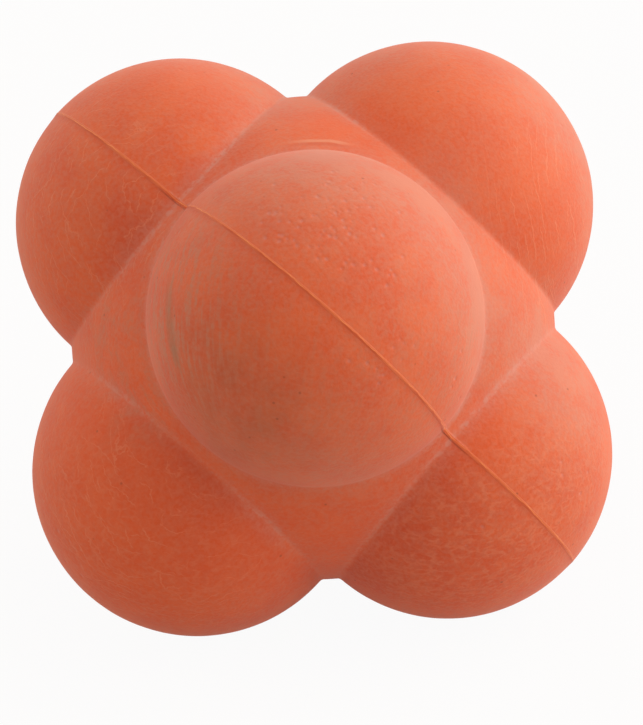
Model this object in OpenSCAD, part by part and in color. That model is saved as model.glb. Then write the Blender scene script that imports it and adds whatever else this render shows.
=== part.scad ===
// Six-lobed reaction ball: a hollow rubber ball of two moulded half shells bonded at one seam.
// Six equal round lobes stand on a ball-shaped core, so every bounce goes off at its own angle.
// The ball rests on three lobes. The origin is its centre and +Z points up between three lobes.

/* [Ball] */
// Size across two opposite lobes
ball_d = 70; // [55:1:100]
// Diameter of each round lobe
lobe_d = 33.7; // [26:0.1:40]
// Radius of the moulded crease round the foot of each lobe
crease_r = 0.6; // [0.3:0.1:1.5]

/* [Shell] */
// Thickness of the rubber wall
wall = 10; // [5:0.5:12]

/* [Seam] */
// Thickness of the bonding gum between the rims of the two half shells
gum_t = 0.4; // [0.3:0.1:1]
// Height of the squeezed-out gum above the rubber
gum_proud = 0.25; // [0.15:0.05:0.6]
// Bevel on both edges of the squeezed-out gum
gum_bevel = 0.1; // [0.05:0.01:0.15]

/* [Colours] */
// Rubber of the half shells
rubber_color = "#e1603c";
// Bonding gum in the seam
gum_color = "#dc7a3e";

/* [Hidden] */
$fn = 96;

lobe_r = lobe_d / 2;
// Each lobe is half a ball, whose base circle lies on the core
lobe_out = ball_d / 2 - lobe_r;
core_r = norm([lobe_out, lobe_r]);

// The crease arc cuts a little into the lobe and the core, so that their surfaces cross cleanly
crease_bite = 0.03 * crease_r;
crease_to_lobe = lobe_r + crease_r - crease_bite;
crease_to_core = core_r + crease_r - crease_bite;
crease_y = (pow(lobe_out, 2) + pow(crease_to_core, 2) - pow(crease_to_lobe, 2)) / (2 * lobe_out);
crease_x = sqrt(pow(crease_to_core, 2) - pow(crease_y, 2));

// The hollow follows the outside, one wall further in
hollow_lobe_r = lobe_r - wall;
hollow_core_r = core_r - wall;

// Blocks that cut the ball in half are larger than the ball all round
block = 2 * ball_d;
overcut = 1;

// Turns that stand the ball on three lobes, with one lobe towards -Y
lobes_to_corner = -45;
corner_to_top = -atan(sqrt(2));
lobe_to_front = -150;

// From the mould, where the seam lies flat at z = 0, to the resting ball
module at_rest() {
    rotate([0, corner_to_top, lobe_to_front])
        rotate([0, 0, lobes_to_corner])
            children();
}

// The four lobe axes that lie in the seam
module along_seam_axes() {
    for (turn = [0 : 90 : 270])
        rotate([0, 0, turn])
            children();
}

// All six lobe axes, as turns of +Z
module along_lobe_axes() {
    children();
    rotate([180, 0, 0]) children();
    along_seam_axes() rotate([0, 90, 0]) children();
}

// The right half of a plane figure, ready to be turned about its axis
module right_half() {
    intersection() {
        children();
        translate([0, -block / 2]) square(block);
    }
}

// One lobe with the flared crease at its foot
module lobe() {
    rotate_extrude() {
        right_half() translate([0, lobe_out]) circle(lobe_r);
        difference() {
            polygon([[0, 0], [crease_x, crease_y], [0, lobe_out]]);
            translate([crease_x, crease_y]) circle(crease_r);
        }
    }
}

module ball_form() {
    sphere(core_r);
    along_lobe_axes() lobe();
}

// The part of the hollow inside one lobe: a round end on a straight stem, which draws off the mould's core
module lobe_hollow() {
    rotate_extrude() {
        square([hollow_lobe_r, lobe_out]);
        intersection() {
            translate([0, lobe_out]) circle(hollow_lobe_r);
            translate([0, lobe_out]) square(block);
        }
    }
}

module hollow_form() {
    sphere(hollow_core_r);
    along_lobe_axes() lobe_hollow();
}

// Half of the ball above the seam, with a flat rim for the gum
module half_shell() {
    difference() {
        ball_form();
        hollow_form();
        translate([-block / 2, -block / 2, gum_t / 2 - block]) cube(block);
    }
}

// A disc of gum as wide as one circle of the seam, with its proud edge bevelled
module gum_disc(r) {
    edge_r = r + gum_proud;
    rotate_extrude()
        polygon([
            [0, -gum_t / 2],
            [edge_r - gum_bevel, -gum_t / 2],
            [edge_r, gum_bevel - gum_t / 2],
            [edge_r, gum_t / 2 - gum_bevel],
            [edge_r - gum_bevel, gum_t / 2],
            [0, gum_t / 2]
        ]);
}

// The seam's section through the hollow
module hollow_section() {
    circle(hollow_core_r);
    along_seam_axes() {
        translate([lobe_out, 0]) circle(hollow_lobe_r);
        translate([0, -hollow_lobe_r]) square([lobe_out, 2 * hollow_lobe_r]);
    }
}

module upper_half_shell() {
    color(rubber_color) at_rest() half_shell();
}

module lower_half_shell() {
    color(rubber_color) at_rest() rotate([180, 0, 0]) half_shell();
}

module bonding_gum() {
    color(gum_color) at_rest()
        difference() {
            union() {
                gum_disc(core_r);
                along_seam_axes() translate([lobe_out, 0, 0]) gum_disc(lobe_r);
            }
            linear_extrude(gum_t + 2 * overcut, center = true) hollow_section();
        }
}

upper_half_shell();
lower_half_shell();
bonding_gum();
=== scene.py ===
# %% [markdown]
# A rubber reaction ball has six round lobes on a round core, so that it bounces off at
# angles nobody expects. It is moulded as two half shells, which are bonded at one seam.
# This lesson rebuilds the two rubber halves and the bead of gum that was squeezed out of
# the seam, and gives them the dusty, scuffed look of natural rubber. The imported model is
# loaded first: it fixes the size and the place of everything, and its box is kept so that
# the finished pieces can be compared with it at the end.

import math
import random

import bmesh
import bpy
import numpy as np
from mathutils import Matrix, Vector, kdtree, noise


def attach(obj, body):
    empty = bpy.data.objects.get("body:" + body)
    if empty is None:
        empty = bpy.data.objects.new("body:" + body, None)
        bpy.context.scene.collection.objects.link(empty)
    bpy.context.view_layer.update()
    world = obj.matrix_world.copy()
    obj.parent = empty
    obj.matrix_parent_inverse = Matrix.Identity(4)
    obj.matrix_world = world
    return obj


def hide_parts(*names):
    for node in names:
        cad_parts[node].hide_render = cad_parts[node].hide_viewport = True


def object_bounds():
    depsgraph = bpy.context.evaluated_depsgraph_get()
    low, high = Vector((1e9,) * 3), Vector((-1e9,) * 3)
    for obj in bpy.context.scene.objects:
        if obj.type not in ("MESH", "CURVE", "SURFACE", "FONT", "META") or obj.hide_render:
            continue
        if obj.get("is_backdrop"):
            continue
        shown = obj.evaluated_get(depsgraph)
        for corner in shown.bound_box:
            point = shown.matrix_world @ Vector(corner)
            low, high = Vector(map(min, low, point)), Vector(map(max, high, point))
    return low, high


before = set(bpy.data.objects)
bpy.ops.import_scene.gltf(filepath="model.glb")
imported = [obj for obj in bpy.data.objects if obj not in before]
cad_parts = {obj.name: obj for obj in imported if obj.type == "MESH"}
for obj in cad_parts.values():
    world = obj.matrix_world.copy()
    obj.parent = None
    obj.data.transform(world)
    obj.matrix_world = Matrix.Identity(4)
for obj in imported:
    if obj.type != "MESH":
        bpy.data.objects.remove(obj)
cad_low, cad_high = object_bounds()
print("packed nodes:", sorted(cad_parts))

# %% [markdown]
# The real ball follows one rule: each lobe is exactly half a ball, and the circle it
# stands on lies on the core. So two sizes, the width over two lobes and the width of one
# lobe, give the core and the angle at which the crease lies, seen from the centre.

# %% Driving sizes, in metres
MM = 0.001
BALL_ACROSS = 70 * MM
LOBE_R = 33.7 * MM / 2
WALL = 10 * MM
GUM_T = 0.4 * MM

LOBE_OUT = BALL_ACROSS / 2 - LOBE_R
CORE_R = math.hypot(LOBE_OUT, LOBE_R)
CREASE_ANGLE = math.atan2(LOBE_R, LOBE_OUT)
print(f"core {2 * CORE_R / MM:.1f} mm across, crease at {math.degrees(CREASE_ANGLE):.1f} degrees")

# %% [markdown]
# Everything is modelled as it lies in the mould, with the seam flat at z = 0 and a lobe on
# each of the six axes, because there every cut is square. The finished mesh is then turned
# as one, so that the ball stands on three lobes with one lobe towards the viewer. The turn
# is applied to the mesh, and the object itself stays unturned at the origin.

# %% From the mould to the resting ball
FRONT_LOBE = Vector((0, -math.sqrt(2 / 3), math.sqrt(1 / 3)))
LEFT_LOBE = Vector((-math.sqrt(1 / 2), math.sqrt(1 / 6), math.sqrt(1 / 3)))
RIGHT_LOBE = Vector((math.sqrt(1 / 2), math.sqrt(1 / 6), math.sqrt(1 / 3)))
MOULD_TO_REST = Matrix((LEFT_LOBE, FRONT_LOBE, RIGHT_LOBE)).transposed()
MOULD_AXES = [Vector(axis) * side for axis in ((1, 0, 0), (0, 1, 0), (0, 0, 1)) for side in (1, -1)]
print(f"the seam is tilted {math.degrees(RIGHT_LOBE.angle(Vector((0, 0, 1)))):.1f} degrees")

# %% [markdown]
# A ball with six lobes could be six spheres joined to a seventh by a boolean, but that
# leaves long thin faces along the creases. A cube has six sides, so it is the better
# start: it is divided finely and blown up to a round ball, and each of its sides later
# swells into one lobe. The tangent spreads the rows so that all faces stay about as large.

# %% A cube blown up to a ball
def blown_up_cube(divisions):
    ball = bmesh.new()
    bmesh.ops.create_cube(ball, size=2)
    bmesh.ops.subdivide_edges(ball, edges=ball.edges[:], cuts=divisions - 1, use_grid_fill=True)
    for vert in ball.verts:
        vert.co = Vector(math.tan(along * math.pi / 4) for along in vert.co).normalized()
    return ball


DIVISIONS = 156
ball = blown_up_cube(DIVISIONS)
print("ball starts with", len(ball.faces), "faces")

# %% [markdown]
# The crease round the foot of a lobe is the sharpest line on the ball, and a square grid
# would turn it into a saw edge. So the ball is cut with bisect_plane where the crease will
# lie, and a little to both sides of it, which leaves clean rings of edges to fold along.

# %% Rings of edges for the creases
CREASE_RINGS = [step * MM / CORE_R for step in (-0.3, -0.13, 0, 0.13, 0.3)]
RING_ROWS = 3
RING_BAND = RING_ROWS * math.pi / 2 / DIVISIONS
RING_SNAP = 0.03 * MM / CORE_R


def faces_with_edges(faces):
    edges = dict.fromkeys(edge for face in faces for edge in face.edges)
    verts = dict.fromkeys(vert for face in faces for vert in face.verts)
    return [*verts, *edges, *faces]


def cut_crease_rings(ball, axis):
    near_crease = [
        face
        for face in ball.faces
        if abs(face.calc_center_median().angle(axis) - CREASE_ANGLE) < RING_BAND
    ]
    cut_zone = faces_with_edges(near_crease)
    for step in CREASE_RINGS:
        height = math.cos(CREASE_ANGLE + step)
        ring_r = math.sin(CREASE_ANGLE + step)
        cut = bmesh.ops.bisect_plane(
            ball, geom=cut_zone, dist=RING_SNAP, plane_co=axis * height, plane_no=axis
        )
        cut_zone = cut["geom"]
        for vert in cut["geom_cut"]:
            if isinstance(vert, bmesh.types.BMVert):
                outward = vert.co - axis * vert.co.dot(axis)
                vert.co = axis * height + outward.normalized() * ring_r


for axis in MOULD_AXES:
    cut_crease_rings(ball, axis)
print("with crease rings:", len(ball.faces), "faces")

# %% [markdown]
# Use leaves small nicks in the skin, about half a millimetre wide, where grit was pressed
# in. They lie in loose groups, two on the front lobe and more all over, and none crosses a
# crease or the seam. The dice place them, and a tree finds the nick nearest to any point.

# %% Places of the nicks
# Each group: direction from the centre on the resting ball, scatter and number of nicks
FRONT_NICKS = [((0.06, -0.67, 0.74), 0.25, 140), ((0.17, -0.9, 0.4), 0.13, 22)]
OTHER_GROUPS, OTHER_SCATTER, OTHER_COUNT = 24, 0.15, 7
NICK_SIZES = (0.35, 1)
NICK_ZONE, SEAM_CLEAR = 0.9, 0.03
dice = random.Random(41)


def random_direction():
    return Vector(dice.gauss(0, 1) for _ in range(3)).normalized()


def on_a_lobe(direction):
    lean = math.acos(min(max(abs(part) for part in direction), 1))
    return lean < NICK_ZONE * CREASE_ANGLE and abs(direction.z) > SEAM_CLEAR


nick_groups = [(Vector(middle), scatter, count) for middle, scatter, count in FRONT_NICKS]
nick_groups += [(random_direction(), OTHER_SCATTER, OTHER_COUNT) for _ in range(OTHER_GROUPS)]
nicks = []
for middle, scatter, count in nick_groups:
    for _ in range(count):
        place = middle + random_direction() * scatter * math.sqrt(dice.random())
        place = MOULD_TO_REST.transposed() @ place.normalized()
        if on_a_lobe(place):
            nicks.append((place, dice.uniform(*NICK_SIZES)))

nick_tree = kdtree.KDTree(len(nicks))
for number, (place, _) in enumerate(nicks):
    nick_tree.insert(place, number)
nick_tree.balance()
print(len(nicks), "nicks")

# %% [markdown]
# The nicks are real dents in the mesh, not only in the material. The faces of the ball are
# about as large as a nick, so those round each nick are divided once more before the ball
# takes its shape. Dividing the whole ball would need many times as many faces.

# %% Finer faces round the nicks
NICK_REACH = 0.6 * MM / (BALL_ACROSS / 2)
NICK_CUTS = 2

nicked = [face for face in ball.faces if nick_tree.find(face.calc_center_median())[2] < NICK_REACH]
nicked_edges = list(dict.fromkeys(edge for face in nicked for edge in face.edges))
bmesh.ops.subdivide_edges(ball, edges=nicked_edges, cuts=NICK_CUTS, use_grid_fill=True)
for vert in ball.verts:
    vert.co.normalize()
print("with finer nicks:", len(ball.faces), "faces")

# %% [markdown]
# Now the form itself. Seen from the centre, a point of the ball lies on the core or on the
# nearest lobe, whichever reaches further out. The larger of the two, rounded a little where
# they meet, gives the moulded crease. The hollow inside is the same form with a smaller
# core and smaller lobes, on straight stems.

# %% How far out the surface lies
CREASE_SOFT = 0.26 * MM


def surface_reach(direction, core_r, lobe_r):
    along = min(max(abs(part) for part in direction), 1)
    aside = math.sqrt(1 - along * along)
    if along * lobe_r > aside * LOBE_OUT:
        lobe_reach = along * LOBE_OUT + math.sqrt(lobe_r**2 - (aside * LOBE_OUT) ** 2)
    else:
        lobe_reach = lobe_r / aside
    rounding = max(CREASE_SOFT - abs(core_r - lobe_reach), 0) / CREASE_SOFT
    return max(core_r, lobe_reach) + rounding**2 * CREASE_SOFT / 4


print(f"lobe tip at {surface_reach(Vector((0, 0, 1)), CORE_R, LOBE_R) / MM:.2f} mm")

# %% [markdown]
# Rubber comes out of the mould nearly true, and then it shrinks, is buffed and bounces on
# rough ground. Slow dents as wide as a finger tip bend the outline very slightly, shallow
# ripples run over the skin, and the nicks are small bowls. At the seam the lower half lies
# a little lower than the upper one, which is why the bead throws a thin shadow there.

# %% Dents, ripples, nicks and the ridge at the seam
DENT_SIZE, DENT_DEPTH = 8 * MM, 0.05 * MM
RIPPLE_SIZE, RIPPLE_DEPTH = 1.5 * MM, 0.01 * MM
NICK_R, NICK_DEPTH = 0.26 * MM, 0.08 * MM
RIDGE_HEIGHT = 0.05 * MM
RIDGE_WIDTH_ABOVE, RIDGE_WIDTH_BELOW = 5 * MM, 0.6 * MM


def fading(distance, width):
    return math.exp(-((distance / width) ** 2))


def nick_bowl(direction):
    _, number, distance = nick_tree.find(direction)
    size = nicks[number][1]
    return size * fading(distance * BALL_ACROSS / 2, NICK_R * size)


def skin_relief(direction, point):
    dents = DENT_DEPTH * noise.noise(point / DENT_SIZE)
    ripples = RIPPLE_DEPTH * noise.noise(point / RIPPLE_SIZE)
    ridge_width = RIDGE_WIDTH_ABOVE if point.z > 0 else RIDGE_WIDTH_BELOW
    ridge = RIDGE_HEIGHT * fading(point.z, ridge_width)
    return dents + ripples + ridge - NICK_DEPTH * nick_bowl(direction)


print(f"dents to {DENT_DEPTH / MM:.2f} mm, nicks to {NICK_DEPTH / MM:.2f} mm")

# %% [markdown]
# Each half shell is a closed solid, as the real one is before bonding: the outside, the
# hollow and the flat rim between them. A boolean could cut the ball in two, but bisect_plane
# is made for a flat cut and keeps its edge clean. The hollow is a coarser ball that is cut
# the same way, with its faces turned round. How deep a point lies in a nick is stored with
# the vertices, for the finish.

# %% Outside and hollow of a half
HOLLOW_DIVISIONS = 40
# Points this near to the cut, on a ball of radius 1, are taken as lying on it
RIM_SNAP = 1e-5


def half_of(ball, side):
    half = ball.copy()
    bmesh.ops.bisect_plane(
        half,
        geom=[*half.verts, *half.edges, *half.faces],
        dist=RIM_SNAP,
        plane_co=(0, 0, 0),
        plane_no=(0, 0, side),
        clear_inner=True,
    )
    return half


def set_rim(half, side):
    rim = [edge for edge in half.edges if edge.is_boundary]
    for edge in rim:
        edge.smooth = False
        for vert in edge.verts:
            vert.co.z = side * GUM_T / 2


def outside_of_half(side):
    half = half_of(ball, side)
    nick_layer = half.verts.layers.float.new("nick")
    for vert in half.verts:
        direction = vert.co.copy()
        point = direction * surface_reach(direction, CORE_R, LOBE_R)
        vert.co = point + direction * skin_relief(direction, point)
        vert[nick_layer] = nick_bowl(direction)
    set_rim(half, side)
    return half


def hollow_of_half(side):
    hollow = half_of(blown_up_cube(HOLLOW_DIVISIONS), side)
    for vert in hollow.verts:
        vert.co *= surface_reach(vert.co, CORE_R - WALL, LOBE_R - WALL)
    set_rim(hollow, side)
    bmesh.ops.reverse_faces(hollow, faces=hollow.faces[:])
    return hollow


print("the hollow is cut from", 6 * HOLLOW_DIVISIONS**2, "faces")

# %% [markdown]
# Outside and hollow are two open bowls, which are put in one mesh, and bridge_loops makes the
# flat rim between their edges. recalc_face_normals turns all faces the same way, and the sign
# of the volume tells whether that way is outward. The mesh is then turned to its resting place.

# %% Join outside and hollow to a shell
def object_from(shape, name):
    mesh = bpy.data.meshes.new(name)
    shape.to_mesh(mesh)
    shape.free()
    mesh.transform(MOULD_TO_REST.to_4x4())
    mesh.polygons.foreach_set("use_smooth", [True] * len(mesh.polygons))
    piece = bpy.data.objects.new(name, mesh)
    bpy.context.scene.collection.objects.link(piece)
    return piece


def half_shell(name, side):
    shell = outside_of_half(side)
    hollow = hollow_of_half(side)
    lining = bpy.data.meshes.new("lining")
    hollow.to_mesh(lining)
    hollow.free()
    shell.from_mesh(lining)
    bpy.data.meshes.remove(lining)
    rims = [edge for edge in shell.edges if edge.is_boundary]
    bmesh.ops.bridge_loops(shell, edges=rims)
    bmesh.ops.recalc_face_normals(shell, faces=shell.faces[:])
    if shell.calc_volume(signed=True) < 0:
        bmesh.ops.reverse_faces(shell, faces=shell.faces[:])
    triangles = sum(len(face.verts) - 2 for face in shell.faces)
    volume = shell.calc_volume(signed=True) / MM**3
    open_edges = sum(not edge.is_manifold for edge in shell.edges)
    print(f"{name}: {triangles} triangles, {volume:.0f} mm3, {open_edges} open edges")
    return object_from(shell, name)


upper_rubber = half_shell("upper_rubber", 1)
lower_rubber = half_shell("lower_rubber", -1)
ball.free()

# %% [markdown]
# When the coated halves are pressed together, the gum squeezes out of the joint and cures
# as a thin uneven bead, which is worn lower towards one lobe. A curve with a round section
# would be too even, so the bead is a mesh. Its section is a short list of steps over the
# bead, and noise changes its height and its course from place to place.

# %% The section of the bead
BEAD_HEIGHT = 0.05 * MM
BEAD_WAVER = 0.1 * MM
BEAD_WORN = 0.6
MEAN_LUMP, LEAST_LUMP = 0.7, 0.1
# Rolls of the bead's height and of its crest's course: size in millimetres and strength
HEIGHT_ROLLS = [(4, 0.9), (0.5, 0.5)]
COURSE_ROLLS = [(2.5, 1), (1.2, 1), (0.4, 0.6)]
# Each step of the section: share of the bead's height, place across the layer of gum, and
# how much painted shade it takes under the bead
BEAD_SECTION = [
    (0, -0.5, 0.1),
    (0.1, -0.3, 0.8),
    (0.3, -0.1, 1),
    (1, 0.08, 0),
    (0.85, 0.16, 0),
    (0.15, 0.3, 0),
    (0, 0.5, 0),
]


def rolls(point, sizes):
    return sum(strength * noise.noise(point / (size * MM)) for size, strength in sizes)


def gum_point(direction, height_share, across):
    outline = direction * surface_reach(direction, CORE_R, LOBE_R)
    lumps = max(MEAN_LUMP + rolls(outline, HEIGHT_ROLLS), LEAST_LUMP)
    lumps *= 1 - BEAD_WORN * max(-direction.x, 0)
    rise = skin_relief(direction, outline) + BEAD_HEIGHT * lumps * height_share
    point = outline + direction * rise
    point.z = across * GUM_T + BEAD_WAVER * rolls(outline, COURSE_ROLLS) * height_share
    return point


def hollow_point(direction, across):
    point = direction * surface_reach(direction, CORE_R - WALL, LOBE_R - WALL)
    point.z = across * GUM_T
    return point


print(f"layer of gum {GUM_T / MM:.1f} mm thick, bead about {BEAD_HEIGHT / MM:.2f} mm high")

# %% [markdown]
# The mesh starts as a circle with very many points, which is laid on the hollow's outline.
# Its edges are extruded step by step round the section: out along the lower rim, over the
# bead and back to the hollow, where the last ring is bridged to the first. Two attributes
# keep how near to the crest each point is and how much painted shade it takes under the bead,
# for the finish.

# %% Build the bead of gum
GUM_POINTS = 2400


def extruded(shape, edges):
    made = bmesh.ops.extrude_edge_only(shape, edges=edges)["geom"]
    new_edges = [item for item in made if isinstance(item, bmesh.types.BMEdge)]
    new_verts = [item for item in made if isinstance(item, bmesh.types.BMVert)]
    return [edge for edge in new_edges if edge.is_boundary], new_verts


def flat_direction(vert):
    return Vector((vert.co.x, vert.co.y, 0)).normalized()


gum = bmesh.new()
crest_layer = gum.verts.layers.float.new("crest")
# How much painted shade each point takes under the bead
bead_shade_layer = gum.verts.layers.float.new("under_bead_shade")
bmesh.ops.create_circle(gum, segments=GUM_POINTS, radius=1)
first_edges = gum.edges[:]
for vert in gum.verts:
    vert.co = hollow_point(flat_direction(vert), -0.5)
edges = first_edges
for height_share, across, bead_shade in BEAD_SECTION:
    edges, verts = extruded(gum, edges)
    for vert in verts:
        vert.co = gum_point(flat_direction(vert), height_share, across)
        vert[crest_layer] = height_share
        vert[bead_shade_layer] = bead_shade
edges, verts = extruded(gum, edges)
for vert in verts:
    vert.co = hollow_point(flat_direction(vert), 0.5)
bmesh.ops.bridge_loops(gum, edges=[*first_edges, *edges])
bmesh.ops.recalc_face_normals(gum, faces=gum.faces[:])
print(f"gum: {len(gum.faces)} faces, {gum.calc_volume(signed=True) / MM**3:.0f} mm3")
seam_bead = object_from(gum, "seam_bead")

# %% [markdown]
# Wear isn't spread evenly. The lobe that was handled most is dusty, grimy on one side and
# scuffed from top to bottom. Other lobes are crazed, netted or streaked with pale lines,
# some places are still fresh orange, and the feet of some lobes get painted shade where the
# lobes beside them shade them. The dusty spots lie mostly on rims that face the lamps, so
# they are painted sheen as well. Some creases hold more chalk than others, and one short fold
# lies above the front lobe. Painting all this on an image would need the ball laid out flat,
# so each kind of wear or painted light is a list of soft round spots. Those towards the
# viewer are listed one by one, and the dice place a few more of each kind on the far side.

# %% Where the wear lies
# Each spot: direction from the centre on the resting ball, width in radians and strength
WEAR_SPOTS = {
    "scuffed": [
        ((-0.46, -0.64, 0.61), 0.22, 0.9),
        ((-0.44, -0.8, 0.4), 0.22, 0.7),
        ((-0.83, -0.45, 0.33), 0.2, 0.6),
        ((-0.72, -0.68, 0.12), 0.16, 0.6),
        ((0.1, -0.92, 0.4), 0.35, 0.25),
        ((0.5, -0.8, 0.3), 0.25, 0.3),
    ],
    "crazed": [
        ((-0.7, -0.2, 0.68), 0.35, 1),
        ((-0.84, -0.08, 0.53), 0.3, 0.6),
        ((-0.75, -0.64, -0.19), 0.35, 1),
        ((-0.49, -0.73, -0.48), 0.3, 0.8),
        ((0.5, -0.78, -0.37), 0.35, 0.4),
    ],
    "netted": [
        ((0.54, -0.78, -0.31), 0.26, 1),
        ((0.39, -0.75, -0.54), 0.25, 0.7),
        ((0.76, -0.61, -0.21), 0.2, 0.6),
        ((-0.77, -0.59, -0.24), 0.25, 0.5),
        ((-0.51, -0.65, -0.56), 0.3, 0.6),
        ((-0.01, -0.95, 0.32), 0.2, 0.3),
    ],
    "fresh": [
        ((-0.34, -0.87, -0.37), 0.15, 0.5),
        ((-0.85, -0.53, 0.08), 0.2, 0.5),
        ((-0.7, -0.72, -0.06), 0.2, 0.6),
        ((0.02, -0.92, -0.4), 0.15, 0.5),
        ((0.12, 0.02, 0.99), 0.12, 0.6),
        ((0.61, -0.79, -0.02), 0.12, 1),
        ((-0.39, 0.22, 0.89), 0.2, 0.9),
        ((0.9, -0.13, 0.41), 0.18, 0.5),
        ((0.75, -0.13, 0.65), 0.2, 0.7),
        ((-0.03, -0.87, 0.49), 0.15, 0.6),
        ((-0.6, -0.7, -0.35), 0.4, 0.65),
        ((0.35, 0.02, 0.93), 0.25, 0.8),
        ((0.08, -0.08, 0.99), 0.12, 0.5),
    ],
    # Dust, which on rims that face the lamps is also painted sheen
    "dust_and_sheen": [
        ((0.1, -0.4, 0.91), 0.22, 0.8),
        ((0.47, -0.45, 0.76), 0.26, 1),
        ((0.6, -0.68, 0.42), 0.22, 0.9),
        ((0.91, -0.41, 0.07), 0.25, 1),
        ((0.8, 0.22, 0.56), 0.25, 0.6),
        ((-0.18, 0.25, 0.95), 0.2, 0.6),
        ((-0.2, -0.52, 0.83), 0.22, 0.35),
        ((0.25, 0.27, 0.93), 0.2, 0.4),
        ((0.01, -1, 0.04), 0.25, 0.5),
        ((-0.31, -0.95, 0.09), 0.2, 0.3),
    ],
    "grimy": [
        ((-0.26, -0.92, 0.28), 0.25, 1),
        ((-0.38, -0.8, 0.45), 0.15, 0.4),
        ((-0.31, -0.95, 0.09), 0.2, 0.3),
    ],
    "chalky": [
        ((-0.28, -0.08, 0.96), 0.25, 0.8),
        ((-0.62, -0.24, 0.75), 0.3, 1),
        ((-0.81, -0.58, 0.1), 0.22, 0.7),
        ((-0.28, -0.91, -0.31), 0.2, 0.9),
        ((0.75, -0.66, 0.11), 0.25, 0.8),
        ((0.52, -0.85, -0.01), 0.2, 0.8),
        ((0.23, -0.9, -0.37), 0.25, 0.6),
        ((0.17, 0.08, 0.98), 0.15, 0.8),
    ],
    # Painted shade: the feet of lobes that the lobes beside them shade
    "foot_shade": [
        ((-0.6, -0.8, 0), 0.14, 0.9),
        ((0.14, -0.78, -0.6), 0.18, 1),
        ((-0.5, -0.85, -0.13), 0.22, 1),
        ((-0.33, -0.89, -0.32), 0.2, 1),
        ((-0.66, -0.3, 0.69), 0.2, 0.6),
        ((0.26, -0.9, -0.35), 0.18, 0.6),
        ((0.44, -0.88, -0.17), 0.18, 0.5),
        ((-0.69, -0.72, 0.02), 0.16, 0.9),
    ],
    "streaked": [
        ((0.88, -0.15, 0.45), 0.28, 1),
        ((0.95, -0.12, 0.29), 0.2, 0.7),
        ((0.78, -0.12, 0.61), 0.22, 0.6),
    ],
    "folded": [
        ((0.05, -0.13, 0.99), 0.09, 1),
        ((0.12, -0.13, 0.98), 0.07, 0.8),
    ],
}
MORE_SPOTS = 5
FAR_SHIFT = 0.5
FAR_WIDTHS, FAR_STRENGTHS = (0.2, 0.4), (0.5, 1)


def far_side_spot():
    direction = random_direction()
    direction.y = abs(direction.y) + FAR_SHIFT
    return direction.normalized(), dice.uniform(*FAR_WIDTHS), dice.uniform(*FAR_STRENGTHS)


for kind in WEAR_SPOTS:
    WEAR_SPOTS[kind] += [far_side_spot() for _ in range(MORE_SPOTS)]
print(sum(map(len, WEAR_SPOTS.values())), "spots of", len(WEAR_SPOTS), "kinds of wear")

# %% [markdown]
# Each vertex stores how much of each kind of wear it has, and the finish reads these values
# as attributes. It also stores distances: from the nearest crease, from the seam, from the
# front lobe's tip, which the hair lines circle, and round the front lobe from its middle,
# which the scuffs cross. A loop over the vertices would be slow, so numpy works them out
# for all the vertices of a piece at once.

# %% Wear stored with the vertices
def vertex_places(piece):
    places = np.empty(3 * len(piece.data.vertices))
    piece.data.vertices.foreach_get("co", places)
    return places.reshape(-1, 3)


def store(piece, name, values):
    layer = piece.data.attributes.new(name, "FLOAT", "POINT")
    layer.data.foreach_set("value", values.astype(np.float32))


def wear_at(directions, spots):
    share = np.zeros(len(directions))
    for middle, width, strength in spots:
        toward = directions @ np.array(middle) / np.linalg.norm(middle)
        share += strength * np.exp(-2 * (1 - toward) / width**2)
    return np.minimum(share, 1)


LOBE_AXES = np.array([LEFT_LOBE, FRONT_LOBE, RIGHT_LOBE])
FRONT_AXIS, SEAM_AXIS = 1, 2
ACROSS_SCUFFS = np.array((0.97, -0.14, -0.198))

for piece in (upper_rubber, lower_rubber):
    places = vertex_places(piece)
    reach = np.linalg.norm(places, axis=1)
    for kind, spots in WEAR_SPOTS.items():
        store(piece, kind, wear_at(places / reach[:, None], spots))
    along = places @ LOBE_AXES.T
    lean = np.arccos(np.minimum(np.abs(along).max(axis=1) / reach, 1))
    store(piece, "crease_mm", (CREASE_ANGLE - lean) * CORE_R / MM)
    store(piece, "seam_mm", along[:, SEAM_AXIS] / MM)
    from_front = np.arccos(np.clip(along[:, FRONT_AXIS] / reach, -1, 1))
    store(piece, "from_front_mm", from_front * BALL_ACROSS / 2 / MM)
    beyond_foot = np.abs(np.abs(along[:, FRONT_AXIS]) - LOBE_OUT)
    round_front = np.arctan2(places @ ACROSS_SCUFFS, beyond_foot)
    store(piece, "round_front_mm", round_front * LOBE_R / MM)
    print(piece.name, "stores", len(piece.data.attributes), "attributes")

# %% [markdown]
# The finishes are made of nodes. These small helpers keep a finish readable: one adds a
# node and links or sets its inputs, and the others are the few moves used again and again.
# Patterns read Object coordinates, scaled to millimetres, so a size in the finish is the
# size of the mark on the rubber.

# %% Helpers for the finishes
def add_node(finish, kind, inputs, **settings):
    made = finish.node_tree.nodes.new("ShaderNode" + kind)
    for name, value in settings.items():
        setattr(made, name, value)
    for name, value in inputs.items():
        if isinstance(value, bpy.types.NodeSocket):
            finish.node_tree.links.new(value, made.inputs[name])
        else:
            made.inputs[name].default_value = value
    return made


def maths(finish, operation, first, second=0.0):
    return add_node(finish, "Math", {0: first, 1: second}, operation=operation).outputs[0]


def product(finish, *values):
    result = values[0]
    for value in values[1:]:
        result = maths(finish, "MULTIPLY", result, value)
    return result


def rising(finish, value, low, high):
    """0 below low, 1 above high and a smooth rise between them."""
    inputs = {"Value": value, "From Min": low, "From Max": high}
    return add_node(finish, "MapRange", inputs, interpolation_type="SMOOTHSTEP").outputs[0]


def falling(finish, value, low, high):
    return maths(finish, "SUBTRACT", 1.0, rising(finish, value, low, high))


def band(finish, value, start, full, still_full, end):
    """A smooth rise from start to full, and a smooth fall from still_full to end."""
    rise = rising(finish, value, start, full)
    return product(finish, rise, falling(finish, value, still_full, end))


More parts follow.
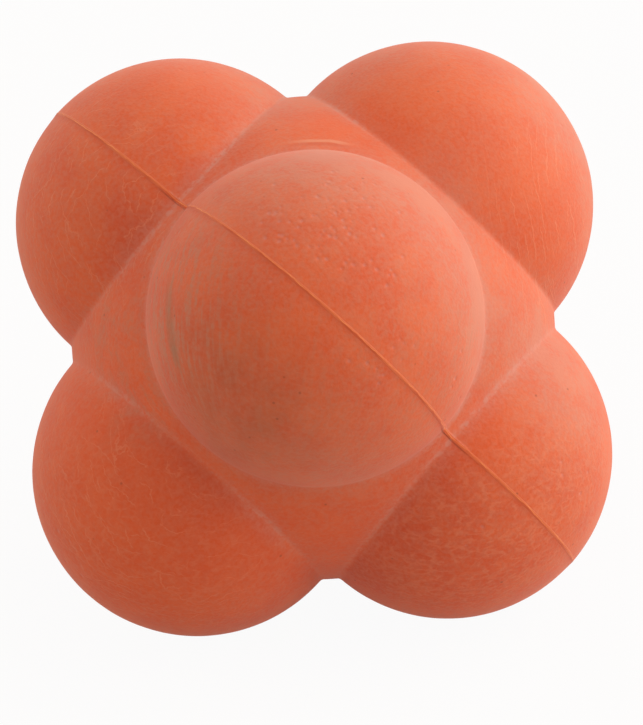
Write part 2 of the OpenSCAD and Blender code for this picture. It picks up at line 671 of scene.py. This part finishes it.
def painted(finish, share, under, over):
    inputs = {0: share, 6: under, 7: over}
    return add_node(finish, "Mix", inputs, data_type="RGBA").outputs[2]


def cloud(finish, place, size, detail):
    inputs = {"Vector": place, "Scale": 1 / size, "Detail": detail}
    return add_node(finish, "TexNoise", inputs).outputs[0]


def clouds(finish, place, size, detail, start, full):
    """Patches of noise: 0 where the noise is below start and 1 where it is above full."""
    return rising(finish, cloud(finish, place, size, detail), start, full)


def millimetres(finish):
    place = add_node(finish, "TexCoord", {}).outputs["Object"]
    return add_node(finish, "Mapping", {"Vector": place, "Scale": (1000, 1000, 1000)}).outputs[0]


def vector_sum(finish, first, second):
    return add_node(finish, "VectorMath", {0: first, 1: second}, operation="ADD").outputs[0]


def spread(finish, value, low, high):
    """A value from 0 to 1, spread from low to high."""
    return add_node(finish, "MapRange", {"Value": value, "To Min": low, "To Max": high}).outputs[0]


def stored(finish, name):
    return add_node(finish, "Attribute", {}, attribute_name=name).outputs["Fac"]


def new_finish(name):
    finish = bpy.data.materials.new(name)
    finish.use_nodes = True
    return finish


def colour(red, green, blue):
    """A screen colour from 0 to 255 as the linear colour that nodes use."""
    parts = [part / 255 for part in (red, green, blue)]
    linear = [((p + 0.055) / 1.055) ** 2.4 if p > 0.04 else p / 12.92 for p in parts]
    return (*linear, 1)


print(f"a screen level of 128 is {colour(128, 128, 128)[0]:.3f} to a node")

# %% [markdown]
# The rubber is orange all through, but its skin is uneven. Wear comes in layers, so the
# finish does too, and each layer is painted over the ones before it. The first ones are
# broad: patches of stronger and weaker orange, painted shade at the feet of some lobes where
# the lobes beside them shade them, places that are still fresh, a mottled dusty film with a
# fine grain, whose dust on rims that face the lamps is painted sheen as well, and brown grime
# where the ball was held.

# %% The rubber's colour: patches, painted shade, dust with painted sheen, and grime
ORANGE = colour(227, 101, 52)
DEEP_ORANGE = colour(221, 90, 45)
FRESH_ORANGE = colour(233, 96, 40)
# Painted shade colour, for the feet of lobes, the fold and the lower side of the seam
SHADED_FOOT = colour(186, 62, 34)
# Pale dust, which on rims that face the lamps is also painted sheen
PALE_DUST_SHEEN = colour(201, 138, 116)
GRAIN = colour(226, 140, 108)
GRIME = colour(146, 92, 64)
# Each kind of cloud: size in millimetres, detail, and the noise levels where it starts and is full
PATCHES = (5, 5, 0.35, 0.65)
MOTTLES = (0.5, 4, 0.38, 0.63)
DUST_CLOUDS = (2.5, 5, 0.3, 0.7)
GRIME_CLOUDS = (3, 5, 0.3, 0.7)
GRAIN_MM, GRAIN_LEVELS = 0.3, (0.35, 0.65)
FOOT_MM = (-0.3, 0.6)
# Strength of a layer where it is weakest and where it is strongest
DUST_STRENGTHS, GRIME_STRENGTHS = (0.6, 1.3), (0.6, 1)
DUST_WHERE_FRESH = (1, 0.4)
DUST_SHARES = (0.04, 0.58)
# How much of a layer shows where it is strongest
FOOT_SHARE, FRESH_SHARE, MOTTLE_SHARE, GRAIN_SHARE, GRIME_SHARE = 0.62, 0.6, 0.38, 0.14, 0.38

rubber = new_finish("dusty_orange_rubber")
place = millimetres(rubber)

patches = clouds(rubber, place, *PATCHES)
skin = painted(rubber, patches, DEEP_ORANGE, ORANGE)

crease_mm = stored(rubber, "crease_mm")
# Painted shade: the feet of some lobes are darker and redder where the lobes beside them shade them
foot = product(rubber, rising(rubber, crease_mm, *FOOT_MM), stored(rubber, "foot_shade"))
skin = painted(rubber, product(rubber, foot, FOOT_SHARE), skin, SHADED_FOOT)

fresh = stored(rubber, "fresh")
skin = painted(rubber, product(rubber, fresh, FRESH_SHARE), skin, FRESH_ORANGE)

mottles = clouds(rubber, place, *MOTTLES)
dust_clouds = spread(rubber, clouds(rubber, place, *DUST_CLOUDS), *DUST_STRENGTHS)
# Dust spots, which on rims that face the lamps are painted sheen as well
dust_and_sheen = product(rubber, stored(rubber, "dust_and_sheen"), dust_clouds)
dust_sheen_share = maths(rubber, "ADD", dust_and_sheen, product(rubber, mottles, MOTTLE_SHARE))
dust_sheen_share = product(rubber, dust_sheen_share, spread(rubber, fresh, *DUST_WHERE_FRESH))
skin = painted(rubber, spread(rubber, dust_sheen_share, *DUST_SHARES), skin, PALE_DUST_SHEEN)

grain = cloud(rubber, place, GRAIN_MM, 2)
pale_grain = product(rubber, rising(rubber, grain, *GRAIN_LEVELS), GRAIN_SHARE)
skin = painted(rubber, pale_grain, skin, GRAIN)

grime_clouds = spread(rubber, clouds(rubber, place, *GRIME_CLOUDS), *GRIME_STRENGTHS)
grime = product(rubber, grime_clouds, stored(rubber, "grimy"), GRIME_SHARE)
skin = painted(rubber, grime, skin, GRIME)
print("patches, dust and grime:", len(rubber.node_tree.nodes), "nodes")

# %% [markdown]
# Fine scuffs run over the front lobe from top to bottom, as if it had been dragged over rough
# ground, and one broader grey smear lies near its left rim. Noise gives such lines if it
# changes quickly round the lobe and slowly along it. Where its coordinates are pushed about
# a little, the lines wander as real ones do.

# %% Scuffs that run from top to bottom
SCUFF = colour(194, 128, 100)
SMEAR = colour(158, 118, 88)
SCUFFS = (0.6, 4, 0.44, 0.6)
SLOWLY = (0.15, 0.15, 0.15)
WANDER_SIZE_MM, WANDER_MM = 0.4, 0.15
SMEAR_MM, SMEAR_SLANT = -14.9, 0.15
SMEAR_CORE_MM, SMEAR_EDGE_MM = 0.3, 1.1
SMEAR_HEIGHTS_MM = (10, 13, 16.5, 19.5)
SCUFF_STRENGTHS, SMEAR_STRENGTHS = (0.4, 0.75), (0.3, 0.7)


def wandering(finish, place, size, amount):
    """The same coordinates, pushed about so that straight marks wander."""
    inputs = {"Vector": place, "Scale": 1 / size, "Detail": 3.0}
    push = add_node(finish, "TexNoise", inputs).outputs["Color"]
    push = vector_sum(finish, push, (-0.5, -0.5, -0.5))
    push = add_node(finish, "VectorMath", {0: push, "Scale": amount}, operation="SCALE").outputs[0]
    return vector_sum(finish, place, push)


def distance_along(finish, place, way):
    inputs = {0: place, 1: way}
    return add_node(finish, "VectorMath", inputs, operation="DOT_PRODUCT").outputs["Value"]


scuffed = stored(rubber, "scuffed")
round_front_mm = stored(rubber, "round_front_mm")
across_scuffs = add_node(rubber, "CombineXYZ", {"X": round_front_mm}).outputs[0]
slow_place = add_node(rubber, "Mapping", {"Vector": place, "Scale": SLOWLY}).outputs[0]
scuff_place = vector_sum(rubber, across_scuffs, slow_place)
scuff_place = wandering(rubber, scuff_place, WANDER_SIZE_MM, WANDER_MM)
scuffs = clouds(rubber, scuff_place, *SCUFFS)
scuffs = product(rubber, scuffs, scuffed, spread(rubber, mottles, *SCUFF_STRENGTHS))
skin = painted(rubber, scuffs, skin, SCUFF)

height_mm = distance_along(rubber, place, (0, 0, 1))
slanted = maths(rubber, "ADD", round_front_mm, product(rubber, height_mm, SMEAR_SLANT))
from_smear = maths(rubber, "ABSOLUTE", maths(rubber, "SUBTRACT", slanted, SMEAR_MM))
smear = product(rubber, falling(rubber, from_smear, SMEAR_CORE_MM, SMEAR_EDGE_MM), scuffed)
smear = product(rubber, smear, band(rubber, height_mm, *SMEAR_HEIGHTS_MM))
smear = product(rubber, smear, spread(rubber, patches, *SMEAR_STRENGTHS))
skin = painted(rubber, smear, skin, SMEAR)
print("with scuffs:", len(rubber.node_tree.nodes), "nodes")

# %% [markdown]
# Where the dusty film has cracked, it leaves pale hair lines. The long ones circle the front
# lobe at uneven steps, and the upper right lobe has short upright streaks. A wave would be
# the usual pattern for lines, but the fraction left after dividing a distance by a spacing
# gives lines of a set width at a set spacing. Noise makes them sway, waver and break off.

# %% Hair lines
LINE_CORE_MM, LINE_EDGE_MM = 0.02, 0.09
SWAY_SIZE_MM, WAVER_SIZE_MM = 6, 0.9
LINE_BREAKS = (3, 0.45, 0.58)
# Each kind of hair line: least and most share of it, sway, waver and length of its pieces in mm
HAIR_KINDS = {"crazed": (0.15, 1, 6.0, 1.2, 2.5), "streaked": (0.03, 0.75, 1.6, 0.6, 4)}
# Each set: kind, spacing in mm, 1 where it circles the front lobe, lean, and shift of its pattern
HAIR_SETS = [
    ("crazed", 2.1, 1, (0, 0, 0), 0),
    ("crazed", 2.9, 1, (0.5, 0, 0.2), 30),
    ("crazed", 3.7, 1, (0.3, 0, -0.5), 60),
    ("streaked", 0.9, 0, (1, 0, 0), 90),
    ("streaked", 1.5, 0, (1, 0, 0.1), 120),
]


def hair_set(finish, across, place, spacing, sway, waver):
    """Lines about 0.1 mm wide at even steps of across, which sway slowly and waver."""
    swaying = product(finish, cloud(finish, place, SWAY_SIZE_MM, 0), sway)
    wavering = product(finish, cloud(finish, place, WAVER_SIZE_MM, 3), waver)
    bent = maths(finish, "ADD", across, maths(finish, "ADD", swaying, wavering))
    step = maths(finish, "FRACT", maths(finish, "DIVIDE", bent, spacing))
    off_line = maths(finish, "ABSOLUTE", maths(finish, "SUBTRACT", step, 0.5))
    return falling(finish, off_line, LINE_CORE_MM / spacing, LINE_EDGE_MM / spacing)


from_front_mm = stored(rubber, "from_front_mm")
hairs = 0.0
for kind, spacing, circling, lean, shift in HAIR_SETS:
    least, most, sway, waver, length = HAIR_KINDS[kind]
    set_place = vector_sum(rubber, place, (0, shift, 0))
    across = distance_along(rubber, place, lean)
    across = maths(rubber, "ADD", product(rubber, from_front_mm, circling), across)
    lines = hair_set(rubber, across, set_place, spacing, sway, waver)
    line_breaks = clouds(rubber, set_place, length, *LINE_BREAKS)
    share = spread(rubber, stored(rubber, kind), least, most)
    hairs = maths(rubber, "MAXIMUM", product(rubber, lines, line_breaks, share), hairs)
print("with hair lines:", len(rubber.node_tree.nodes), "nodes")

# %% [markdown]
# On the lower right lobe the cracks close up to a fine net. A Voronoi texture knows how far
# each point lies from the edge of its cell, so a narrow band along the edges is a net. It
# is stretched sideways, wanders, and has gaps. Net and hair lines are painted as one layer.

# %% The crazed net
HAIR_LINE = colour(230, 144, 108)
HAIR_SHARE = 0.42
NET_STRETCH = (0.45, 1, 1)
NET_MM, NET_WANDER_MM = 0.8, 0.7
NET_BREAKS = (1.1, 3, 0.38, 0.6)
NET_EDGE, NET_STRENGTHS = (0.03, 0.2), (0.1, 0.75)


def cracks(finish, place, size):
    """How far a point lies from the edge of its crack cell, as a share of the cell's size."""
    inputs = {"Vector": place, "Scale": 1 / size}
    return add_node(finish, "TexVoronoi", inputs, feature="DISTANCE_TO_EDGE").outputs[0]


net_place = add_node(rubber, "Mapping", {"Vector": place, "Scale": NET_STRETCH}).outputs[0]
net_place = wandering(rubber, net_place, NET_WANDER_MM, NET_WANDER_MM)
net = falling(rubber, cracks(rubber, net_place, NET_MM), *NET_EDGE)
netted = spread(rubber, stored(rubber, "netted"), *NET_STRENGTHS)
net = product(rubber, net, clouds(rubber, place, *NET_BREAKS), netted)
hair_lines = maths(rubber, "MAXIMUM", hairs, net)
skin = painted(rubber, product(rubber, hair_lines, HAIR_SHARE), skin, HAIR_LINE)
print("with the net:", len(rubber.node_tree.nodes), "nodes")

# %% [markdown]
# Above the front lobe the core's skin has one short fold. It could be a ridge in the mesh,
# but it is too shallow to show on the outline, so its light is painted: a painted highlight
# along its pale edge, and a little painted shade on the side of the lobe. It follows a circle
# round the lobe's tip, and the stored distance from the tip places it.

# %% The fold above the front lobe
FOLD_MM = 29
FOLD_WAVER_SIZE_MM, FOLD_WAVER_MM = 3, 0.8
FOLD_CORE_MM, FOLD_EDGE_MM = 0.15, 0.5
FOLD_SHADE_MM = (-1.4, -0.8, -0.6, -0.2)
FOLD_HIGHLIGHT_SHARE, FOLD_SHADE_SHARE = 0.8, 0.25

folded = stored(rubber, "folded")
fold_waver = product(rubber, cloud(rubber, place, FOLD_WAVER_SIZE_MM, 2), FOLD_WAVER_MM)
from_fold = maths(rubber, "SUBTRACT", maths(rubber, "ADD", from_front_mm, fold_waver), FOLD_MM)
fold_highlight = falling(rubber, maths(rubber, "ABSOLUTE", from_fold), FOLD_CORE_MM, FOLD_EDGE_MM)
# Painted highlight along the fold's pale edge
skin = painted(rubber, product(rubber, fold_highlight, folded, FOLD_HIGHLIGHT_SHARE), skin, HAIR_LINE)
# Painted shade on the fold's side towards the lobe
fold_shade = band(rubber, from_fold, *FOLD_SHADE_MM)
skin = painted(rubber, product(rubber, fold_shade, folded, FOLD_SHADE_SHARE), skin, SHADED_FOOT)
print("with the fold:", len(rubber.node_tree.nodes), "nodes")

# %% [markdown]
# Chalk is caught in the creases, as a thin line and a wider haze. Along the seam the upper
# half gets painted light, where it stands proud towards the lamps, and the lower one gets
# painted shade. They could be painted by hand along the lines, but the stored distances from
# crease and seam already say where each of them starts and ends.

# %% Chalk, and painted light and shade at the seam
CHALK = colour(212, 150, 134)
# Painted light for the upper half, where it stands proud at the seam
SEAM_PAINTED_LIGHT = colour(240, 118, 66)
CHALK_LINE_MM, CHALK_HAZE_MM = (-0.8, -0.2, 0, 0.3), (-2, 0, 0, 1.5)
CHALK_LINE_SHARE, CHALK_HAZE_SHARE = 0.7, 0.35
CHALK_BREAKS = (0.6, 4, 0.38, 0.62)
CHALK_BREAK_STRENGTHS, CHALKY_STRENGTHS = (0.45, 1), (0.25, 1)
BELOW_SEAM_MM, ABOVE_SEAM_MM = (-0.9, -0.1, -0.1, 0), (0, 0.1, 0, 2.5)
SEAM_SHADE_SHARE, SEAM_LIGHT_SHARE = 0.18, 0.2

chalk_line = product(rubber, band(rubber, crease_mm, *CHALK_LINE_MM), CHALK_LINE_SHARE)
chalk_haze = product(rubber, band(rubber, crease_mm, *CHALK_HAZE_MM), CHALK_HAZE_SHARE)
chalk = maths(rubber, "MAXIMUM", chalk_line, chalk_haze)
chalk_breaks = spread(rubber, clouds(rubber, place, *CHALK_BREAKS), *CHALK_BREAK_STRENGTHS)
chalky = spread(rubber, stored(rubber, "chalky"), *CHALKY_STRENGTHS)
chalk = product(rubber, chalk, chalk_breaks, chalky)
skin = painted(rubber, chalk, skin, CHALK)

seam_mm = stored(rubber, "seam_mm")
# Painted shade on the lower half, just under the seam
below_seam = product(rubber, band(rubber, seam_mm, *BELOW_SEAM_MM), SEAM_SHADE_SHARE)
skin = painted(rubber, below_seam, skin, SHADED_FOOT)
# Painted light on the upper half, just above the seam
above_seam = product(rubber, band(rubber, seam_mm, *ABOVE_SEAM_MM), SEAM_LIGHT_SHARE)
skin = painted(rubber, above_seam, skin, SEAM_PAINTED_LIGHT)
print("with chalk and the seam:", len(rubber.node_tree.nodes), "nodes")

# %% [markdown]
# The last marks are the smallest: chalk in the nicks, and a few dark specks of dirt. How deep
# a point lies in a nick is stored with the mesh. The specks are the points of a Voronoi
# texture, and only some are kept, because a speck in every cell would look like a pattern.

# %% Nicks and specks
NICK_CHALK = colour(204, 150, 142)
DIRT = colour(120, 58, 42)
NICK_SHARE, SPECK_SHARE = 0.28, 0.4
SPECKS_APART_MM = 2.2
NICK_LEVELS, SPECK_CHANCE, SPECK_EDGE = (0.15, 0.9), (0.55, 0.6), (0.03, 0.09)

in_nick = rising(rubber, stored(rubber, "nick"), *NICK_LEVELS)
skin = painted(rubber, product(rubber, in_nick, NICK_SHARE), skin, NICK_CHALK)

speck_cells = add_node(rubber, "TexVoronoi", {"Vector": place, "Scale": 1 / SPECKS_APART_MM})
speck_kept = rising(rubber, speck_cells.outputs["Color"], *SPECK_CHANCE)
specks = falling(rubber, speck_cells.outputs["Distance"], *SPECK_EDGE)
skin = painted(rubber, product(rubber, specks, speck_kept, SPECK_SHARE), skin, DIRT)
print("with nicks and specks:", len(rubber.node_tree.nodes), "nodes")

# %% [markdown]
# The surface is matt, with a soft sheen where it is seen edge on, as on anything with a
# fine dusty nap. Grain and hair lines also catch a little light, which is bump: they are
# far too fine for the mesh.

# %% The rubber's surface
HAIR_RELIEF = 0.5
RUBBER_RELIEF = 0.03 * MM
RUBBER_ROUGHNESS = (0.62, 0.78)

relief = maths(rubber, "ADD", grain, product(rubber, hair_lines, HAIR_RELIEF))
bump = add_node(rubber, "Bump", {"Height": relief, "Distance": RUBBER_RELIEF}).outputs[0]
gloss = spread(rubber, grain, *RUBBER_ROUGHNESS)


def rubber_surface(finish, skin, gloss, bump):
    surface = finish.node_tree.nodes["Principled BSDF"]
    finish.node_tree.links.new(skin, surface.inputs["Base Color"])
    finish.node_tree.links.new(gloss, surface.inputs["Roughness"])
    finish.node_tree.links.new(bump, surface.inputs["Normal"])
    surface.inputs["Specular IOR Level"].default_value = 0.25
    surface.inputs["Sheen Weight"].default_value = 0.19
    surface.inputs["Sheen Roughness"].default_value = 0.5
    surface.inputs["Sheen Tint"].default_value = colour(255, 246, 240)


rubber_surface(rubber, skin, gloss, bump)
print("rubber finish:", len(rubber.node_tree.nodes), "nodes")

# %% [markdown]
# The gum is the same kind of rubber with less filler, so it is a little yellower. Its bead
# is rubbed along its crest, which leaves it paler in places, and the paler crest is painted
# highlight as well. The groove under the bead is darker, as painted shade.

# %% The gum's finish
GUM_ORANGE = colour(230, 120, 64)
# Paler rubbed gum, which on the crest is also painted highlight
PALE_GUM_HIGHLIGHT = colour(242, 148, 86)
GUM_DULL = colour(222, 112, 70)
# Painted shade in the groove under the bead
GROOVE_SHADE = colour(206, 86, 50)

RUBBED_HIGHLIGHT_CLOUDS = (1.4, 3, 0.4, 0.65)
GROOVE_SHADE_CLOUDS = (4, 3, 0.35, 0.6)
GROOVE_SHADE_STRENGTHS, CREST_LEVELS = (0.05, 1), (0.5, 0.95)
GUM_RELIEF = 0.02 * MM
GUM_ROUGHNESS = (0.6, 0.76)

gum_finish = new_finish("bonding_gum_orange")
gum_place = millimetres(gum_finish)
gum_grain = cloud(gum_finish, gum_place, GRAIN_MM, 2)
# Paler rubbed patches on the crest, which are also painted highlight
gum_rubbed_highlight = clouds(gum_finish, gum_place, *RUBBED_HIGHLIGHT_CLOUDS)
gum_crest = painted(gum_finish, gum_rubbed_highlight, GUM_ORANGE, PALE_GUM_HIGHLIGHT)
# Painted shade in the groove under the bead, in patches
gum_groove_shade = spread(gum_finish, clouds(gum_finish, gum_place, *GROOVE_SHADE_CLOUDS), *GROOVE_SHADE_STRENGTHS)
gum_groove_shade = product(gum_finish, stored(gum_finish, "under_bead_shade"), gum_groove_shade)
gum_flank = painted(gum_finish, gum_groove_shade, GUM_DULL, GROOVE_SHADE)
on_crest = rising(gum_finish, stored(gum_finish, "crest"), *CREST_LEVELS)
gum_skin = painted(gum_finish, on_crest, gum_flank, gum_crest)
gum_bump = add_node(gum_finish, "Bump", {"Height": gum_grain, "Distance": GUM_RELIEF}).outputs[0]
rubber_surface(gum_finish, gum_skin, spread(gum_finish, gum_grain, *GUM_ROUGHNESS), gum_bump)
print("gum finish:", len(gum_finish.node_tree.nodes), "nodes")

# %% [markdown]
# Each piece now stands for its imported node and rides on the one rigid body, since nothing on
# the ball moves. The two halves take the same finish, and the gum has its own.

# %% Join the pieces to the frame
PIECES = [
    (upper_rubber, "upper_half_shell", "orange_rubber", rubber),
    (lower_rubber, "lower_half_shell", "orange_rubber", rubber),
    (seam_bead, "bonding_gum", "seam_gum", gum_finish),
]
for piece, node, slot, finish in PIECES:
    piece.data.materials.append(finish)
    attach(piece, "root")
    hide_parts(node)
    print(piece.name, "stands for", node)

# %% [markdown]
# The ball is seen from above the horizon through a long lens, on a white sweep, and the
# camera is tilted a few degrees. The camera's axes are worked out from those angles, and
# it looks at a point a little below the ball's centre, as the picture is framed.

# %% Camera
IMAGE_W, IMAGE_H = 643, 725
SENSOR = 36.0
CAMERA_AZIMUTH = math.radians(-1.2)
CAMERA_ELEVATION = math.radians(29.43)
CAMERA_ROLL = math.radians(-3.394)
CAMERA_DISTANCE = 0.63
LOBE_OUT_PIXELS = 176.993
PIXELS_PER_METRE = LOBE_OUT_PIXELS / LOBE_OUT
BALL_PIXEL = (313.59, 338.12)

back = Vector(
    (
        math.sin(CAMERA_AZIMUTH) * math.cos(CAMERA_ELEVATION),
        -math.cos(CAMERA_AZIMUTH) * math.cos(CAMERA_ELEVATION),
        math.sin(CAMERA_ELEVATION),
    )
)
level_right = Vector((0, 0, 1)).cross(back).normalized()
level_up = back.cross(level_right)
right = level_right * math.cos(CAMERA_ROLL) + level_up * math.sin(CAMERA_ROLL)
up = level_up * math.cos(CAMERA_ROLL) - level_right * math.sin(CAMERA_ROLL)
aim = right * ((IMAGE_W / 2 - BALL_PIXEL[0]) / PIXELS_PER_METRE)
aim += up * ((BALL_PIXEL[1] - IMAGE_H / 2) / PIXELS_PER_METRE)

camera_data = bpy.data.cameras.new("camera")
camera_data.sensor_width = SENSOR
camera_data.lens = PIXELS_PER_METRE * CAMERA_DISTANCE * SENSOR / IMAGE_H
camera_data.clip_start = 0.01
camera = bpy.data.objects.new("camera", camera_data)
camera_turn = Matrix((right, up, back)).transposed().to_4x4()
camera.matrix_world = Matrix.Translation(aim + back * CAMERA_DISTANCE) @ camera_turn
bpy.context.scene.collection.objects.link(camera)
bpy.context.scene.camera = camera
print(f"lens {camera_data.lens:.0f} mm")

# %% [markdown]
# A large soft lamp stands to the right of the ball, a weaker one hangs above it and another
# grazes it from behind on the left. Each one is a wide disk that points at the ball, because
# a small lamp would draw hard shadows.

# %% Lamps
# Each lamp: direction from the ball as shares of right, up and back, then size, distance and power
LAMPS = {
    "side": ((0.9, 0.4, 0), 1.3, 0.8, 9.8),
    "overhead": ((0, 0.8, 0.6), 1.4, 0.8, 1.7),
    "left_rim": ((-0.85, 0.3, -0.45), 1.1, 0.8, 2.4),
}
LAMP_TINT = (0.93, 0.98, 1)
for name, ((to_right, to_up, to_back), size, distance, power) in LAMPS.items():
    lamp_data = bpy.data.lights.new(name, "AREA")
    lamp_data.shape = "DISK"
    lamp_data.size = size
    lamp_data.energy = power
    lamp_data.color = LAMP_TINT
    lamp = bpy.data.objects.new(name, lamp_data)
    way = (right * to_right + up * to_up + back * to_back).normalized()
    lamp_turn = way.to_track_quat("Z", "Y").to_matrix().to_4x4()
    lamp.matrix_world = Matrix.Translation(way * distance) @ lamp_turn
    lamp.visible_camera = False
    bpy.context.scene.collection.objects.link(lamp)
    print(f"{name} lamp: {size} m wide, {power} W")

# %% [markdown]
# A pale warm surround fills the shade from all sides. A picture of a room could do this too,
# but one even tone is enough for rubber, which mirrors nothing. Rays that show the background
# itself see it at full strength, and other rays at about half.

# %% Surround
SURROUND_LEVEL = 0.55
SURROUND_TINT = (1, 0.83, 0.72, 1)


def sees_background(shader):
    """1 for rays that show the background: from the camera, in gloss and through glass."""
    path = add_node(shader, "LightPath", {}).outputs
    seen = maths(shader, "MAXIMUM", path["Is Camera Ray"], path["Is Glossy Ray"])
    return maths(shader, "MAXIMUM", seen, path["Is Transmission Ray"])


world = bpy.data.worlds.new("surround")
world.use_nodes = True
bpy.context.scene.world = world
surround = world.node_tree.nodes["Background"]
surround.inputs["Color"].default_value = SURROUND_TINT
world_inputs = {"Value": sees_background(world), "To Min": SURROUND_LEVEL, "To Max": 1.0}
world_level = add_node(world, "MapRange", world_inputs).outputs[0]
world.node_tree.links.new(world_level, surround.inputs["Strength"])
print("surround lights the ball at", SURROUND_LEVEL)

# %% [markdown]
# The ball stands on white paper, which throws some warm light up at the lower lobes. The
# camera sees the paper almost white, and what is left of its own tone takes a soft shadow.

# %% Floor
FLOOR_HALF = 3.0
FLOOR_WHITENESS = 0.95
PAPER_DARK, PAPER_PALE = (0.67, 0.54, 0.45, 1), (0.69, 0.56, 0.47, 1)
FIBRE_MM = 2

floor_shape = bmesh.new()
bmesh.ops.create_grid(floor_shape, x_segments=1, y_segments=1, size=FLOOR_HALF)
floor_mesh = bpy.data.meshes.new("floor")
floor_shape.to_mesh(floor_mesh)
floor_shape.free()
floor_mesh.transform(Matrix.Translation((0, 0, cad_low.z)))
floor = bpy.data.objects.new("floor", floor_mesh)
bpy.context.scene.collection.objects.link(floor)
floor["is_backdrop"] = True

paper = new_finish("white_paper")
paper_fibre = cloud(paper, millimetres(paper), FIBRE_MM, 2)
paper_tone = painted(paper, paper_fibre, PAPER_DARK, PAPER_PALE)
paper_matt = add_node(paper, "BsdfDiffuse", {"Color": paper_tone}).outputs[0]
paper_glow = add_node(paper, "Emission", {"Color": (1, 1, 1, 1)}).outputs[0]
paper_share = maths(paper, "MULTIPLY", sees_background(paper), FLOOR_WHITENESS)
paper_mix = add_node(paper, "MixShader", {0: paper_share, 1: paper_matt, 2: paper_glow}).outputs[0]
paper.node_tree.links.new(paper_mix, paper.node_tree.nodes["Material Output"].inputs["Surface"])
floor_mesh.materials.append(paper)
print(f"floor at {cad_low.z / MM:.1f} mm")

# %% [markdown]
# Standard view keeps the colours as they were mixed. The box of the finished pieces is
# measured against the imported model's box, and the difference in width is printed.

# %% Finish
bpy.context.scene.view_settings.view_transform = "Standard"
visual_low, visual_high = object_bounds()
wider = (visual_high - visual_low) - (cad_high - cad_low)
print("the finished pieces' box is wider by", [round(side / MM, 3) for side in wider], "mm")
